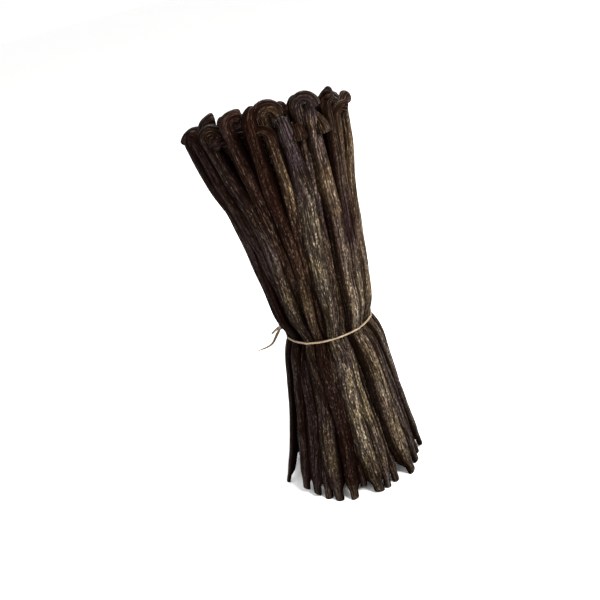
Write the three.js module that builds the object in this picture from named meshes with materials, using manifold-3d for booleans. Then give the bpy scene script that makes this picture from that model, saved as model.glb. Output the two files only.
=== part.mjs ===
// A bundle of cured vanilla pods, tied round the waist with raffia twine and standing on the
// blossom ends of its pods. The stem ends curl over in small hooks at the head.
// Millimetres, +Z up, the front of the bundle towards -Y. An azimuth is measured in degrees round
// the bundle from the front, towards +X on the right.
import * as THREE from 'three';
import { mergeVertices } from 'three/addons/utils/BufferGeometryUtils.js';
import Module from 'manifold-3d';

// The bundle's outline
const bundleHeight = 170; // to the necks of the pods, the hooks stand over it
const tieHeight = 75.7;
const tieRadius = 20; // over the pods, under the twine
const slackRadius = 23.2; // what the waist would be without the twine's squeeze
const squeezeReach = 7; // how far above and below the twine the pods stay pinched
const headFlare = 9.6; // growth of the radius from the waist to the head
const footFlare = 10.2;
const headFlareBend = 1.7; // 1 is a straight cone, more keeps the flare for the end
const footFlareBend = 1.4;
const headLean = -4.6; // the head's and the foot's middle lie a little to the left
const footLean = -3.2;
const bulgeHeight = 155; // where some pods bulge out below the head
const bulgeReach = 15;
const axisPlace = new THREE.Vector3(5.3, -0.2, 0); // the waist's middle, from the middle of the whole

// One pod
const flatness = 0.66; // thickness over width
const tieShare = 0.68; // width under the twine over the full width, where the pod is squeezed round
const tieReachUp = 26;
const tieReachDown = 9;
const blossomShare = 0.48; // width of the blunt blossom end over the full width
const blossomLength = 4;
const blossomStep = 8; // the end widens fast to here
const blossomTaper = 20; // and slowly to here
const stepPart = 0.75; // how much of the widening is the fast one
const upperShare = 0.94; // a pod is widest in its lower third
const upperTaper = 55; // above the twine it narrows to that over this length
// Width of the neck over the upper width
const neckShare = { facing: 0.76, rear: 0.86, inner: 0.92 };
const neckTaper = 28;
const hookShare = 0.8; // width at the end of the hook over the neck's
const knobShare = 1.15; // the stem scar is a little thicker again
const swayLength = 74; // the pods waver a little on their way up
const outerHookSteps = 4;
const neckStep = 6; // the last ring of the body is at least this far below the hook
// Heights of the rings of a pod, fewer where it is buried in the core
const outerStations = [0, 4.5, 8.5, 42, 66, 75.7, 84, 104, 130, 154];
const innerStations = [0, 4.5, 8.5, 75.7, 150];

// The pods that face the front and the sides, from left to right. foot, tie and head are azimuths,
// sunk is how far a pod sits behind its neighbours and buried how much further under the twine, lift
// is the height of its blossom end and kick is how far that end leaves the others.
const facingPods = [
  { foot: -81, tie: -71, head: -94, width: 5.6, sunk: 0, buried: 0, lift: 0, kick: 2 },
  { foot: -57, tie: -59, head: -79, width: 8.4, sunk: 0, buried: 0, lift: 2, kick: 0 },
  { foot: -43, tie: -47, head: -63, width: 8.6, sunk: 0.6, buried: 2.2, lift: 1, kick: 0 },
  { foot: -23, tie: -36, head: -48, width: 8.8, sunk: 0, buried: 0, lift: 0, kick: 0 },
  { foot: -33, tie: -28, head: -30, width: 8.6, sunk: 1, buried: 2.2, lift: 0, kick: 0 },
  { foot: -9, tie: -22, head: -15, width: 7.6, sunk: 0, buried: 0, lift: 0, kick: 0 },
  { foot: -2, tie: -12, head: -3, width: 6.6, sunk: 0.6, buried: 1.8, lift: 3, kick: -3 },
  { foot: 9, tie: -2, head: 9, width: 9.4, sunk: 0, buried: 0, lift: 0, kick: 0 },
  { foot: 18, tie: 11, head: 19, width: 7.4, sunk: 1.2, buried: 1.6, lift: 0, kick: 0.5 },
  { foot: 30, tie: 21, head: 24, width: 7.4, sunk: 3.4, buried: 0, lift: 0, kick: 2 },
  { foot: 44, tie: 31, head: 29, width: 10, sunk: 0, buried: 0, lift: 0, kick: 1.5 },
  { foot: 56, tie: 47, head: 44, width: 8.4, sunk: 0.6, buried: 0.8, lift: 0, kick: 0.8 },
  { foot: 68, tie: 57, head: 57, width: 8, sunk: 1.2, buried: 1.6, lift: 1, kick: 0.8 },
  { foot: 79, tie: 67, head: 69, width: 8.4, sunk: 0, buried: 0, lift: 1, kick: 1 },
];
// The stem ends of the same pods in the same order. top is where the hook starts, splay is how far
// the head leaves the others, bulge is how far the pod stands out below that, and the hook turns
// through an angle towards an azimuth. upper replaces upperShare on the pods that widen to the head.
const facingHooks = [
  { top: 163, splay: 0, bulge: 1.6, towards: 150, turn: 70, radius: 3, upper: 1.45 },
  { top: 167.5, splay: 0.6, bulge: 2.2, towards: 150, turn: 80, radius: 2.8, upper: 1.1 },
  { top: 170, splay: 0.6, bulge: 1.4, towards: -120, turn: 60, radius: 2.8, upper: 1.05 },
  { top: 171.5, splay: 0.2, bulge: 0.4, towards: 75, turn: 165, radius: 2.5 },
  { top: 174.8, splay: 0, bulge: 0, towards: 95, turn: 125, radius: 3.2 },
  { top: 175, splay: 0, bulge: 0, towards: 150, turn: 120, radius: 3 },
  { top: 169, splay: 0, bulge: 0, towards: -110, turn: 100, radius: 3 },
  { top: 167, splay: 0, bulge: 0, towards: 180, turn: 100, radius: 3.4 },
  { top: 176.6, splay: 0, bulge: 0, towards: 80, turn: 180, radius: 3.3 },
  { top: 169, splay: 0, bulge: 0, towards: 120, turn: 120, radius: 3.2 },
  { top: 172, splay: 0, bulge: 0, towards: 180, turn: 40, radius: 4.2 },
  { top: 174.5, splay: 0.4, bulge: 0.4, towards: 60, turn: 80, radius: 3 },
  { top: 167, splay: 0.6, bulge: 0.6, towards: 110, turn: 110, radius: 3 },
  { top: 169, splay: 0.6, bulge: 1.2, towards: 130, turn: 80, radius: 2.8 },
];
// Hooks of the second ring that stand up over the facing pods, by their place in that ring
const archedPods = {
  0: { top: 175.6, towards: 92, turn: 180, radius: 3.1 },
  13: { top: 172, towards: 90, turn: 110, radius: 3.4 },
};
const rearDrop = 5; // the rim of the head falls towards the back by twice this
const rearAzimuths = { first: 92, last: 252, count: 10 };
const innerRings = [
  { count: 16, share: 0.7, spread: 0.09, start: -4, sides: 5, hookSteps: 4 },
  { count: 9, share: 0.42, spread: 0.06, start: 10, sides: 5, hookSteps: 3 },
  { count: 4, share: 0.16, spread: 0.02, start: 30, sides: 4, hookSteps: 3 },
];
const facingSides = 7;
const rearSides = 6;

// The core that the pods are fused to
const coreInset = 3.6; // under the outer pods' skin
const coreFoot = { height: 9, radius: 25 };
const coreHead = { height: 146, radius: 20 };
const coreSides = 15;
const coreFootClear = 6; // from the core's foot and head to its nearest ring
const coreHeadClear = 12;
const trimSize = 200; // block that trims the blossom ends flat at the floor

// The twine
const twineRadius = 0.45;
const twineGap = 0.3; // between the twine and the pods
const twineSteps = 44;
const knotAzimuth = -108;
const knotRadius = 1.4;
const knotStandoff = 1.1;
const tailSides = 6;
const tailFlatness = 0.6;
// Each tail's course from the knot, in mm along +X, +Y and +Z
const longTail = {
  width: 1.5,
  course: [[0, 0, 0], [-2.8, -0.5, -3.4], [-6.8, -1.7, -7.2], [-13.6, -2.7, -8]],
};
const shortTail = { width: 1.2, course: [[0, 0, 0], [-2.4, 0.3, -1.2], [-5.4, 0.5, -3.2]] };

const rad = THREE.MathUtils.degToRad;
const mix = THREE.MathUtils.lerp;
const ease = (x, low, high) => THREE.MathUtils.smoothstep(x, low, high);

// A repeatable draw from 0 to 1 for a pod and a purpose
function draw(pod, purpose) {
  const wave = Math.sin(pod * 127.1 + purpose * 311.7) * 43758.5453;
  return wave - Math.floor(wave);
}

const aboveTie = (z) => Math.max(0, z - tieHeight) / (bundleHeight - tieHeight);
const belowTie = (z) => Math.max(0, tieHeight - z) / tieHeight;
const bump = (distance, reach) => Math.exp(-((distance / reach) ** 2));

// The bundle's outer radius at a height
function outerRadius(z) {
  const head = headFlare * aboveTie(z) ** headFlareBend;
  const foot = footFlare * belowTie(z) ** footFlareBend;
  return slackRadius + head + foot - (slackRadius - tieRadius) * bump(z - tieHeight, squeezeReach);
}

// The middle of the bundle at a height
function middle(z) {
  return new THREE.Vector3(headLean * aboveTie(z) ** 2 + footLean * belowTie(z) ** 2, 0, z);
}

function outward(azimuth) {
  return new THREE.Vector3(Math.sin(rad(azimuth)), -Math.cos(rad(azimuth)), 0);
}

// How much the twine squeezes the pods sideways at a height, from 0 to 1
function squeeze(z) {
  return bump(z - tieHeight, z > tieHeight ? tieReachUp : tieReachDown);
}

// A pod's width and thickness at a height, over its full width
function girth(pod, z) {
  const above = z - pod.lift;
  const fast = ease(above, blossomLength, blossomStep);
  const opened = mix(ease(above, blossomLength, blossomTaper), fast, stepPart);
  const blossom = mix(blossomShare, 1, opened);
  const upper = mix(1, pod.upper ?? upperShare, ease(z, tieHeight, tieHeight + upperTaper));
  const neck = mix(1, pod.neck, ease(z, pod.top - neckTaper, pod.top));
  const whole = blossom * upper * neck;
  return { wide: whole * mix(1, tieShare, squeeze(z)), thick: whole * mix(flatness, tieShare, squeeze(z)) };
}

// How far a pod's centre line is from the middle of the bundle at a height
function podRadius(pod, z) {
  const up = aboveTie(z);
  if (pod.share < 1) return outerRadius(z) * (pod.share + pod.spread * up ** 2);
  const depth = (pod.width * girth(pod, z).thick) / 2 + pod.sunk + pod.buried * squeeze(z);
  const leaving = pod.splay * up ** 2 + pod.kick * belowTie(z) ** 4;
  return outerRadius(z) - depth + leaving + pod.bulge * bump(z - bulgeHeight, bulgeReach);
}

// A point of the pod's centre line below its hook
function bodyPoint(pod, z) {
  const up = aboveTie(z);
  const down = belowTie(z);
  const radius = podRadius(pod, z);
  const wave = Math.sin(((z - tieHeight) / swayLength + pod.phase) * 2 * Math.PI);
  const sway = pod.sway * wave * (1 - squeeze(z));
  const turned = (pod.head - pod.tie) * up ** 0.8 + (pod.foot - pod.tie) * down ** 0.8;
  const azimuth = pod.tie + turned + THREE.MathUtils.radToDeg(sway / radius);
  return middle(z).addScaledVector(outward(azimuth), radius);
}

// The rings that a pod's skin is drawn over, from the blossom end to the stem scar
function podRings(pod) {
  const stations = pod.share === 1 ? outerStations : innerStations;
  const heights = stations
    .map((z) => pod.lift + z * (1 - pod.lift / tieHeight))
    .filter((z) => z < pod.top - neckStep);
  heights.push(pod.top);
  const rings = heights.map((z) => {
    const { wide, thick } = girth(pod, z);
    return { at: bodyPoint(pod, z), wide: pod.width * wide, thick: pod.width * thick };
  });
  const neck = rings.at(-1);
  const rise = neck.at.clone().sub(bodyPoint(pod, pod.top - neckStep)).normalize();
  const over = outward(pod.towards);
  over.addScaledVector(rise, -over.dot(rise)).normalize();
  for (let step = 1; step <= pod.hookSteps; step++) {
    const turned = rad((pod.turn * step) / pod.hookSteps);
    const at = neck.at.clone().addScaledVector(rise, pod.radius * Math.sin(turned));
    at.addScaledVector(over, pod.radius * (1 - Math.cos(turned)));
    const along = step / pod.hookSteps;
    const share = mix(1, hookShare, ease(along, 0, 0.8)) * mix(1, knobShare, ease(along, 0.75, 1));
    rings.push({ at, wide: neck.wide * share, thick: mix(neck.thick, neck.wide, along) * share });
  }
  rings.forEach((ring, i) => {
    const before = rings[Math.max(0, i - 1)].at;
    const after = rings[Math.min(rings.length - 1, i + 1)].at;
    ring.tangent = after.clone().sub(before).normalize();
  });
  return rings;
}

// A tube of oval section over a list of rings, made by bending a cylinder
function bentTube(rings, sides, sideways) {
  const tube = new THREE.CylinderGeometry(1, 1, 1, sides, rings.length - 1);
  const across = [];
  let held = sideways.clone();
  for (const ring of rings) {
    held = held.clone().addScaledVector(ring.tangent, -held.dot(ring.tangent)).normalize();
    across.push(held);
  }
  const position = tube.getAttribute('position');
  for (let i = 0; i < position.count; i++) {
    const index = Math.round((position.getY(i) + 0.5) * (rings.length - 1));
    const ring = rings[index];
    const through = across[index].clone().cross(ring.tangent);
    const bent = ring.at.clone().addScaledVector(across[index], (position.getX(i) * ring.wide) / 2);
    bent.addScaledVector(through, (position.getZ(i) * ring.thick) / 2);
    position.setXYZ(i, bent.x, bent.y, bent.z);
  }
  return tube;
}

function podGeometry(pod, sides) {
  return bentTube(podRings(pod), sides, outward(pod.foot + 90));
}

const rearFall = (azimuth, share) => rearDrop * share * (1 - Math.cos(rad(azimuth)));

// The pods of the back, spread evenly and then disturbed by seeded draws
function rearPods() {
  const step = (rearAzimuths.last - rearAzimuths.first) / (rearAzimuths.count - 1);
  return Array.from({ length: rearAzimuths.count }, (_, i) => {
    const tie = rearAzimuths.first + i * step;
    return {
      foot: tie + mix(-6, 6, draw(i, 1)),
      tie,
      head: tie + mix(-6, 6, draw(i, 2)),
      width: mix(8, 10.4, draw(i, 3)),
      sunk: i % 2 ? mix(0.5, 1.2, draw(i, 4)) : 0,
      buried: i % 2 ? 1.8 : 0,
      lift: i % 3 ? 0 : mix(1, 4, draw(i, 5)),
      top: mix(167, 172, draw(i, 6)) - rearFall(tie, 1),
      splay: mix(-0.5, 1.4, draw(i, 7)),
      bulge: 0,
      kick: mix(-0.5, 1.5, draw(i, 13)),
      towards: tie + mix(110, 250, draw(i, 8)),
      turn: mix(60, 170, draw(i, 9)),
      radius: mix(3, 4.4, draw(i, 10)),
    };
  });
}

// The pods inside, of which only the two ends show
function innerPods(ring, level) {
  return Array.from({ length: ring.count }, (_, i) => {
    const seed = 40 * (level + 1) + i;
    const tie = ring.start + (360 / ring.count) * i;
    const pod = {
      foot: tie + mix(-7, 7, draw(seed, 1)),
      tie,
      head: tie + mix(-7, 7, draw(seed, 2)),
      width: mix(7, 9.2, draw(seed, 3)),
      lift: mix(0, 5, draw(seed, 5)),
      top: mix(166, 172, draw(seed, 6)) - rearFall(tie, ring.share),
      towards: 360 * draw(seed, 8),
      turn: mix(80, 175, draw(seed, 9)),
      radius: mix(3, 4.4, draw(seed, 10)),
      share: ring.share,
      spread: ring.spread,
    };
    return level === 0 ? { ...pod, ...archedPods[i] } : pod;
  });
}

// Every pod with its sides, its neck, its share of the bundle's radius and its sway
function allPods() {
  const facing = facingPods.map((pod, i) => {
    return { ...pod, ...facingHooks[i], neck: neckShare.facing, sides: facingSides };
  });
  const rear = rearPods().map((pod) => ({ ...pod, neck: neckShare.rear, sides: rearSides }));
  const outer = [...facing, ...rear].map((pod) => ({ ...pod, share: 1, hookSteps: outerHookSteps }));
  const inner = innerRings.flatMap((ring, level) => {
    return innerPods(ring, level).map((pod) => {
      return { ...pod, neck: neckShare.inner, sides: ring.sides, hookSteps: ring.hookSteps };
    });
  });
  return [...outer, ...inner].map((pod, i) => {
    return { ...pod, sway: mix(0.4, 1.3, draw(i, 11)), phase: draw(i, 12) };
  });
}

function coreGeometry() {
  const heights = outerStations.filter(
    (z) => z > coreFoot.height + coreFootClear && z < coreHead.height - coreHeadClear,
  );
  const skin = heights.map((z) => new THREE.Vector2(outerRadius(z) - coreInset, z));
  const profile = [
    new THREE.Vector2(0, coreFoot.height),
    new THREE.Vector2(coreFoot.radius, coreFoot.height),
    ...skin,
    new THREE.Vector2(coreHead.radius, coreHead.height),
    new THREE.Vector2(0, coreHead.height),
  ];
  const core = new THREE.LatheGeometry(profile, coreSides).rotateX(Math.PI / 2);
  const position = core.getAttribute('position');
  for (let i = 0; i < position.count; i++) {
    position.setX(i, position.getX(i) + middle(position.getZ(i)).x);
  }
  return core;
}

// Booleans
const wasm = await Module();
wasm.setup();

function solid(geometry) {
  const bare = geometry.clone();
  bare.deleteAttribute('normal');
  bare.deleteAttribute('uv');
  const merged = mergeVertices(bare, 1e-4);
  const made = new wasm.Manifold(
    new wasm.Mesh({
      numProp: 3,
      vertProperties: merged.attributes.position.array,
      triVerts: new Uint32Array(merged.index.array),
    }),
  );
  return made;
}

function geometryOf(made) {
  const mesh = made.getMesh();
  return new THREE.BufferGeometry()
    .setAttribute('position', new THREE.BufferAttribute(mesh.vertProperties, 3))
    .setIndex(new THREE.BufferAttribute(mesh.triVerts, 1));
}

function joined(geometries) {
  return geometries.map(solid).reduce((whole, piece) => whole.add(piece));
}

// The outer skin alone, with the hollows between the pods filled
function filled(made) {
  return made.decompose().reduce((largest, piece) => (piece.volume() > largest.volume() ? piece : largest));
}

function podsGeometry() {
  const pieces = [coreGeometry(), ...allPods().map((pod) => podGeometry(pod, pod.sides))];
  const underFloor = new THREE.BoxGeometry(trimSize, trimSize, trimSize).translate(0, 0, -trimSize / 2);
  return geometryOf(filled(joined(pieces).subtract(solid(underFloor))));
}

const loopRadius = tieRadius + twineGap + twineRadius;
const knotPlace = outward(knotAzimuth)
  .multiplyScalar(loopRadius + knotStandoff)
  .setZ(tieHeight);

function tailGeometry(tail) {
  const points = tail.course.map((offset) => knotPlace.clone().add(new THREE.Vector3(...offset)));
  const curve = new THREE.CatmullRomCurve3(points);
  const steps = 3 * (points.length - 1);
  const rings = Array.from({ length: steps + 1 }, (_, i) => ({
    at: curve.getPoint(i / steps),
    tangent: curve.getTangent(i / steps),
    wide: tail.width,
    thick: tail.width * tailFlatness,
  }));
  return bentTube(rings, tailSides, new THREE.Vector3(0, 0, 1));
}

function twineGeometry() {
  const loop = new THREE.TorusGeometry(loopRadius, twineRadius, 8, twineSteps).translate(0, 0, tieHeight);
  const knot = new THREE.SphereGeometry(knotRadius, 10, 7).translate(...knotPlace);
  return geometryOf(joined([loop, knot, tailGeometry(longTail), tailGeometry(shortTail)]));
}

const podSkin = new THREE.MeshStandardMaterial({ color: 0x33241b, roughness: 0.5, metalness: 0 });
const raffia = new THREE.MeshStandardMaterial({ color: 0xc9a878, roughness: 0.65, metalness: 0 });

const pods = new THREE.Mesh(podsGeometry(), podSkin);
pods.name = 'pods';
const twine = new THREE.Mesh(twineGeometry(), raffia);
twine.name = 'twine';

const bundle = new THREE.Group();
bundle.name = 'vanilla_pod_bundle';
bundle.add(pods, twine);
bundle.position.copy(axisPlace);

export default bundle;
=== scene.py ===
# A bundle of cured vanilla pods, tied round the waist with raffia and standing on its blossom ends.
# Shapes are worked out in millimetres round the middle of the waist and set down in metres.
# An azimuth is in degrees round the bundle from the front, towards the right.
import math

import bmesh
import bpy
import numpy as np
from mathutils import Matrix, Vector


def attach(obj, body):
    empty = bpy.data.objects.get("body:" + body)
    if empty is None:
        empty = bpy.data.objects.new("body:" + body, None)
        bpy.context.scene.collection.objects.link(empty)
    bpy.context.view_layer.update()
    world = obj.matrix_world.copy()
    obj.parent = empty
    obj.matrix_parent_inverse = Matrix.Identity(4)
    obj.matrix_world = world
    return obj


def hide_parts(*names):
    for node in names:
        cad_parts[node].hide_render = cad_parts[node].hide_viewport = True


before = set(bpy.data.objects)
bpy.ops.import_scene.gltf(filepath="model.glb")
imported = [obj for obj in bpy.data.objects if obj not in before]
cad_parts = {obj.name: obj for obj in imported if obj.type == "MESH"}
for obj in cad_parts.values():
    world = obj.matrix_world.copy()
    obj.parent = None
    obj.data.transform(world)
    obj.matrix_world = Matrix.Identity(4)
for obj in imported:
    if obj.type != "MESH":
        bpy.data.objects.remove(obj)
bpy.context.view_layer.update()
print("frame loaded:", len(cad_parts), "nodes")

mm = 0.001

bundle = {
    "height": 170.0,          # to the necks of the pods, the hooks stand over it
    "tieHeight": 75.7,
    "tieRadius": 20.0,
    "slackRadius": 23.2,      # what the waist would be without the twine
    "squeezeReach": 7.0,
    "headFlare": 9.6,
    "footFlare": 10.2,
    "headFlareBend": 1.7,
    "footFlareBend": 1.4,
    "headLean": -4.6,
    "footLean": -3.2,
    "leanBend": 2,
    "bulgeHeight": 155.0,
    "bulgeReach": 15.0,
    "place": (5.3, -0.2, 0.0),   # where the middle of the waist stands
}

# numbers of the random draws, by what they are for, and the wave that they are read from
draws = {
    "foot": 1,
    "head": 2,
    "width": 3,
    "sunk": 4,
    "lift": 5,
    "top": 6,
    "splay": 7,
    "towards": 8,
    "turn": 9,
    "radius": 10,
    "sway": 11,
    "phase": 12,
    "kick": 13,
    "gold": 14,
    "red": 15,
    "violet": 16,
    "folds": 20,              # and those after it
}
drawWave = {"pod": 127.1, "purpose": 311.7, "scale": 43758.5453}


def mix(low, high, share):
    return low + (high - low) * share


def ease(x, low, high):
    t = np.clip((x - low) / (high - low), 0.0, 1.0)
    return t * t * (3.0 - 2.0 * t)


def bump(distance, reach):
    return np.exp(-((distance / reach) ** 2))


def draw(pod, purpose):
    wave = math.sin(pod * drawWave["pod"] + purpose * drawWave["purpose"]) * drawWave["scale"]
    return wave - math.floor(wave)


def drawBetween(pod, name, ranges):
    low, high = ranges[name]
    return mix(low, high, draw(pod, draws[name]))


def unit(v):
    return v / np.maximum(np.linalg.norm(v, axis=-1, keepdims=True), 1e-9)


def outward(azimuth):
    a = np.radians(azimuth)
    return np.stack([np.sin(a), -np.cos(a), np.zeros_like(a)], axis=-1)


def aboveTie(z):
    return np.maximum(0.0, z - bundle["tieHeight"]) / (bundle["height"] - bundle["tieHeight"])


def belowTie(z):
    return np.maximum(0.0, bundle["tieHeight"] - z) / bundle["tieHeight"]


def outerRadius(z):
    head = bundle["headFlare"] * aboveTie(z) ** bundle["headFlareBend"]
    foot = bundle["footFlare"] * belowTie(z) ** bundle["footFlareBend"]
    pulled = bump(z - bundle["tieHeight"], bundle["squeezeReach"])
    pinch = (bundle["slackRadius"] - bundle["tieRadius"]) * pulled
    return bundle["slackRadius"] + head + foot - pinch


def middleX(z):
    bend = bundle["leanBend"]
    return bundle["headLean"] * aboveTie(z) ** bend + bundle["footLean"] * belowTie(z) ** bend


podShape = {
    "flatness": 0.66,
    "tieShare": 0.68,
    "tieReachUp": 26.0,
    "tieReachDown": 9.0,
    "blossomShare": 0.48,
    "blossomLength": 4.0,
    "blossomStep": 8.0,       # the stub widens fast to here
    "blossomTaper": 20.0,     # and slowly to here
    "stepPart": 0.75,         # how much of the widening is the fast one
    "upperShare": 0.94,
    "upperTaper": 55.0,
    "neckShare": {"facing": 0.76, "rear": 0.86, "inner": 0.92},
    "neckTaper": 28.0,
    "neckStep": 6.0,
    "hookShare": 0.8,
    "hookTaper": 0.8,         # how far along the hook it narrows to that
    "knobShare": 1.15,
    "knobStart": 0.75,        # where along the hook its end begins to swell
    "splayBend": 2,
    "kickBend": 4,
    "fanBend": 0.8,
    "sway": (0.4, 1.3),
    "swayLength": 74.0,
}

# from left to right: azimuths at foot, tie and head, width, how far it sits behind its neighbours
# all along and under the twine, height of the blossom end, how far that end leaves the others
facingPods = [
    (-81, -71, -94, 5.6, 0.0, 0.0, 0, 2.0),
    (-57, -59, -79, 8.4, 0.0, 0.0, 2, 0.0),
    (-43, -47, -63, 8.6, 0.6, 2.2, 1, 0.0),
    (-23, -36, -48, 8.8, 0.0, 0.0, 0, 0.0),
    (-33, -28, -30, 8.6, 1.0, 2.2, 0, 0.0),
    (-9, -22, -15, 7.6, 0.0, 0.0, 0, 0.0),
    (-2, -12, -3, 6.6, 0.6, 1.8, 3, -3.0),
    (9, -2, 9, 9.4, 0.0, 0.0, 0, 0.0),
    (18, 11, 19, 7.4, 1.2, 1.6, 0, 0.5),
    (30, 21, 24, 7.4, 3.4, 0.0, 0, 2.0),
    (44, 31, 29, 10.0, 0.0, 0.0, 0, 1.5),
    (56, 47, 44, 8.4, 0.6, 0.8, 0, 0.8),
    (68, 57, 57, 8.0, 1.2, 1.6, 1, 0.8),
    (79, 67, 69, 8.4, 0.0, 0.0, 1, 1.0),
]
# the same pods: start of the hook, how far the head leaves the others, how far it bulges below that,
# where the hook turns, through what angle and on what radius
facingHooks = [
    (163.0, 0.0, 1.6, 150, 70, 3.0),
    (167.5, 0.6, 2.2, 150, 80, 2.8),
    (170.0, 0.6, 1.4, -120, 60, 2.8),
    (171.5, 0.2, 0.4, 75, 165, 2.5),
    (174.8, 0.0, 0.0, 95, 125, 3.2),
    (175.0, 0.0, 0.0, 150, 120, 3.0),
    (169.0, 0.0, 0.0, -110, 100, 3.0),
    (167.0, 0.0, 0.0, 180, 100, 3.4),
    (176.6, 0.0, 0.0, 80, 180, 3.3),
    (169.0, 0.0, 0.0, 120, 120, 3.2),
    (172.0, 0.0, 0.0, 180, 40, 4.2),
    (174.5, 0.4, 0.4, 60, 80, 3.0),
    (167.0, 0.6, 0.6, 110, 110, 3.0),
    (169.0, 0.6, 1.2, 130, 80, 2.8),
]
# the same pods: golden, reddish and violet share of the skin
facingTints = [
    (0.00, 0.30, 0.0),
    (0.00, 0.30, 0.0),
    (0.02, 0.3, 0.2),
    (0.10, 0.1, 0.2),
    (0.04, 0.55, 0.1),
    (0.00, 0.40, 0.0),
    (0.08, 0.5, 0.1),
    (0.45, 0.0, 0.8),
    (0.24, 0.2, 0.5),
    (0.14, 0.3, 0.2),
    (0.36, 0.4, 0.6),
    (0.12, 0.4, 0.2),
    (0.30, 0.5, 0.1),
    (0.60, 0.5, 0.3),
]
# pods that don't narrow above the twine: share of their width there, by their place from the left
upperShares = {0: 1.45, 1: 1.1, 2: 1.05}

# azimuths under the twine, and what the pods draw: azimuths off that one, sizes, where and how far
# the hook turns, shares of the colours
rearRing = {
    "first": 92.0,
    "last": 252.0,
    "count": 10,
    "drop": 5.0,              # heads are this much lower at the side, and twice that at the back
    "foot": (-6.0, 6.0),
    "head": (-6.0, 6.0),
    "width": (8.0, 10.4),
    "sunk": (0.5, 1.2),       # every other one
    "buried": 1.8,            # the same ones
    "lift": (1.0, 4.0),       # every third one
    "top": (167.0, 172.0),
    "splay": (-0.5, 1.4),
    "kick": (-0.5, 1.5),
    "towards": (110.0, 250.0),
    "turn": (60.0, 170.0),
    "radius": (3.0, 4.4),
    "gold": (0.0, 0.5),
    "red": (0.0, 0.7),
    "violet": (0.0, 0.5),
    "litPods": 3,             # the first ones stand in the light, and are golden without a draw, as painted light
    "litGold": 0.45,
}

innerRings = [
    {"count": 16, "share": 0.7, "spread": 0.09, "start": -4.0},
    {"count": 9, "share": 0.42, "spread": 0.06, "start": 10.0},
    {"count": 4, "share": 0.16, "spread": 0.02, "start": 30.0},
]
innerPod = {
    "seedStep": 40,
    "foot": (-7.0, 7.0),
    "head": (-7.0, 7.0),
    "width": (7.0, 9.2),
    "lift": (0.0, 5.0),
    "top": (166.0, 172.0),
    "towards": (0.0, 360.0),
    "turn": (80.0, 175.0),
    "radius": (3.0, 4.4),
    "gold": (0.0, 0.5),
    "red": (0.0, 0.6),
    "violet": (0.0, 0.3),
}
# pods of the first inner ring that show over the front: start, direction, angle and radius of the hook
archedPods = {0: (175.6, 92, 180, 3.1), 13: (172.0, 90, 110, 3.4)}


def squeeze(z):
    reach = np.where(z > bundle["tieHeight"], podShape["tieReachUp"], podShape["tieReachDown"])
    return bump(z - bundle["tieHeight"], reach)


def girth(pod, z):
    shape = podShape
    above = z - pod["lift"]
    fast = ease(above, shape["blossomLength"], shape["blossomStep"])
    opened = mix(ease(above, shape["blossomLength"], shape["blossomTaper"]), fast, shape["stepPart"])
    blossom = mix(shape["blossomShare"], 1.0, opened)
    raised = ease(z, bundle["tieHeight"], bundle["tieHeight"] + shape["upperTaper"])
    upper = mix(1.0, pod["upper"], raised)
    neck = mix(1.0, pod["neck"], ease(z, pod["top"] - shape["neckTaper"], pod["top"]))
    whole = blossom * upper * neck * pod["width"]
    squeezed = squeeze(z)
    wide = whole * mix(1.0, shape["tieShare"], squeezed)
    thick = whole * mix(shape["flatness"], shape["tieShare"], squeezed)
    return wide, thick


# the centre line of a pod below its hook
def bodyPoints(pod, z):
    shape = podShape
    up, down = aboveTie(z), belowTie(z)
    if pod["share"] == 1.0:
        radius = outerRadius(z) - girth(pod, z)[1] / 2.0 - pod["sunk"] - pod["buried"] * squeeze(z)
        radius = radius + pod["splay"] * up ** shape["splayBend"]
        radius = radius + pod["kick"] * down ** shape["kickBend"]
        radius = radius + pod["bulge"] * bump(z - bundle["bulgeHeight"], bundle["bulgeReach"])
    else:
        radius = outerRadius(z) * (pod["share"] + pod["spread"] * up ** shape["splayBend"])
    wave = np.sin(((z - bundle["tieHeight"]) / shape["swayLength"] + pod["phase"]) * 2.0 * np.pi)
    sway = pod["sway"] * wave * (1.0 - squeeze(z))
    toHead = (pod["head"] - pod["tie"]) * up ** shape["fanBend"]
    toFoot = (pod["foot"] - pod["tie"]) * down ** shape["fanBend"]
    azimuth = pod["tie"] + toHead + toFoot
    points = outward(azimuth + np.degrees(sway / radius)) * radius[:, None]
    points[:, 0] += middleX(z)
    points[:, 2] = z
    return points


def rearFall(azimuth, share):
    return rearRing["drop"] * share * (1.0 - math.cos(math.radians(azimuth)))


def rearPods():
    ring = rearRing
    step = (ring["last"] - ring["first"]) / (ring["count"] - 1)
    pods = []
    for i in range(ring["count"]):
        tie = ring["first"] + i * step
        lit = i < ring["litPods"]
        gold = mix(ring["litGold"], 0.0, i / ring["litPods"]) if lit else drawBetween(i, "gold", ring)
        pods.append({
            "foot": tie + drawBetween(i, "foot", ring),
            "tie": tie,
            "head": tie + drawBetween(i, "head", ring),
            "width": drawBetween(i, "width", ring),
            "sunk": drawBetween(i, "sunk", ring) if i % 2 else 0.0,
            "buried": ring["buried"] if i % 2 else 0.0,
            "lift": 0.0 if i % 3 else drawBetween(i, "lift", ring),
            "top": drawBetween(i, "top", ring) - rearFall(tie, 1.0),
            "splay": drawBetween(i, "splay", ring),
            "bulge": 0.0,
            "kick": drawBetween(i, "kick", ring),
            "towards": tie + drawBetween(i, "towards", ring),
            "turn": drawBetween(i, "turn", ring),
            "radius": drawBetween(i, "radius", ring),
            "neck": podShape["neckShare"]["rear"],
            "tint": (gold, drawBetween(i, "red", ring), drawBetween(i, "violet", ring)),
        })
    return pods


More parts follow.
